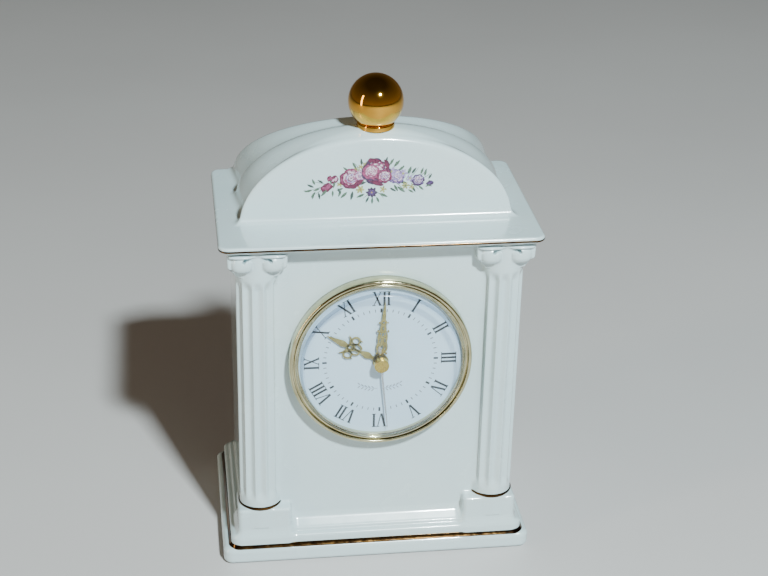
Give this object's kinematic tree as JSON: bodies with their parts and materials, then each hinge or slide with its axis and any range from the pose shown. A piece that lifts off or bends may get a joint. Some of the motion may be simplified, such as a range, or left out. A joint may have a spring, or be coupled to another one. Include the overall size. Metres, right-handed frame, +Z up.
{
  "type": "porcelain mantel clock with quartz insert",
  "caption": "Glazed porcelain mantel clock with fluted columns, arched pediment, gold ball finial and a push-in quartz insert.",
  "frame": {"origin": "on the table under the middle of the case, on the flat underside of the base", "axes": "+Z up, -Y out of the dial toward the viewer, +X to the viewer's right"},
  "size_m": [0.1576, 0.1014, 0.2462],
  "materials": {
    "porcelain": "glossy clear glaze over white porcelain",
    "gold_lustre": "mirror-bright gold lustre over glaze",
    "polished_brass": "polished and lacquered",
    "clear_lens": "clear, polished",
    "dial_white": "smooth satin paint",
    "black_plastic": "fine moulded texture",
    "rubber": "matt",
    "enamelled_copper": "fine wound wire",
    "bright_steel": "bright stamped metal",
    "circuit_board": "green solder mask",
    "cell_foil": "printed foil wrap",
    "white_nylon": "moulded",
    "ferrite": "sintered magnet"
  },
  "bodies": {
    "case": {"base": "porcelain", "front_panel": "porcelain", "case_shell": "porcelain", "pedestal_left": "porcelain", "pedestal_right": "porcelain", "column_left": "porcelain", "column_right": "porcelain", "capital_left": "porcelain", "capital_right": "porcelain", "cornice": "porcelain", "vault": "porcelain", "finial_collar": "gold_lustre", "finial_ball": "gold_lustre"},
    "insert": {"bezel": "polished_brass", "lens": "clear_lens", "dial": "dial_white", "cup": "black_plastic", "gasket": "rubber", "bushing": "polished_brass", "movement_front": "black_plastic", "movement_cover": "black_plastic", "coil": "enamelled_copper", "stator": "bright_steel", "circuit_board": "circuit_board", "crystal": "bright_steel", "contact_plus": "bright_steel", "contact_minus": "bright_steel"},
    "hour": {"hour_wheel": "white_nylon", "hour_hand": "polished_brass"},
    "minute": {"cannon_pinion": "polished_brass", "minute_hand": "polished_brass"},
    "second": {"second_wheel": "white_nylon", "second_hand": "bright_steel", "hub_cap": "polished_brass"},
    "motion": {"motion_wheel": "white_nylon"},
    "knob": {"setting_knob": "white_nylon"},
    "minute_drive": {"minute_wheel": "white_nylon"},
    "third": {"third_wheel": "white_nylon"},
    "step": {"step_wheel": "white_nylon"},
    "rotor": {"rotor_pinion": "bright_steel", "rotor_magnet": "ferrite"},
    "battery": {"cell": "cell_foil"}
  },
  "joints": [
    {"name": "insert_slide", "type": "slide", "parent": "case", "child": "insert", "axis": [0, -1, 0], "range_m": [0, 0.09]},
    {"name": "minute_turn", "type": "hinge", "parent": "insert", "child": "minute", "pos_m": [0, -0.04, 0.1111], "axis": [0, 1, 0], "continuous": true},
    {"name": "hour_turn", "type": "hinge", "parent": "insert", "child": "hour", "pos_m": [0, -0.04, 0.1111], "axis": [0, 1, 0], "continuous": true},
    {"name": "motion_turn", "type": "hinge", "parent": "insert", "child": "motion", "pos_m": [-0.0048, -0.04, 0.11941], "axis": [0, 1, 0], "continuous": true},
    {"name": "knob_turn", "type": "hinge", "parent": "insert", "child": "knob", "pos_m": [-0.01311, -0.04, 0.12421], "axis": [0, 1, 0], "continuous": true},
    {"name": "second_turn", "type": "hinge", "parent": "insert", "child": "second", "pos_m": [0, -0.04, 0.1111], "axis": [0, 1, 0], "continuous": true},
    {"name": "third_turn", "type": "hinge", "parent": "insert", "child": "third", "pos_m": [-0.0085, -0.04, 0.1111], "axis": [0, 1, 0], "continuous": true},
    {"name": "minute_drive_turn", "type": "hinge", "parent": "insert", "child": "minute_drive", "pos_m": [0, -0.04, 0.1111], "axis": [0, 1, 0], "continuous": true},
    {"name": "step_turn", "type": "hinge", "parent": "insert", "child": "step", "pos_m": [0.0036, -0.04, 0.11734], "axis": [0, 1, 0], "continuous": true},
    {"name": "rotor_turn", "type": "hinge", "parent": "insert", "child": "rotor", "pos_m": [0.01018, -0.04, 0.11973], "axis": [0, 1, 0], "continuous": true},
    {"name": "cell_slide", "type": "slide", "parent": "insert", "child": "battery", "axis": [0, 1, 0], "range_m": [0, 0.09]}
  ],
  "couplings": [
    {"joint": "hour_turn", "follows": "minute_turn", "ratio": 0.083333},
    {"joint": "motion_turn", "follows": "minute_turn", "ratio": -0.33333},
    {"joint": "knob_turn", "follows": "minute_turn", "ratio": 1},
    {"joint": "third_turn", "follows": "second_turn", "ratio": -0.13333},
    {"joint": "minute_drive_turn", "follows": "second_turn", "ratio": 0.016667},
    {"joint": "step_turn", "follows": "second_turn", "ratio": -5},
    {"joint": "rotor_turn", "follows": "second_turn", "ratio": 30}
  ]
}
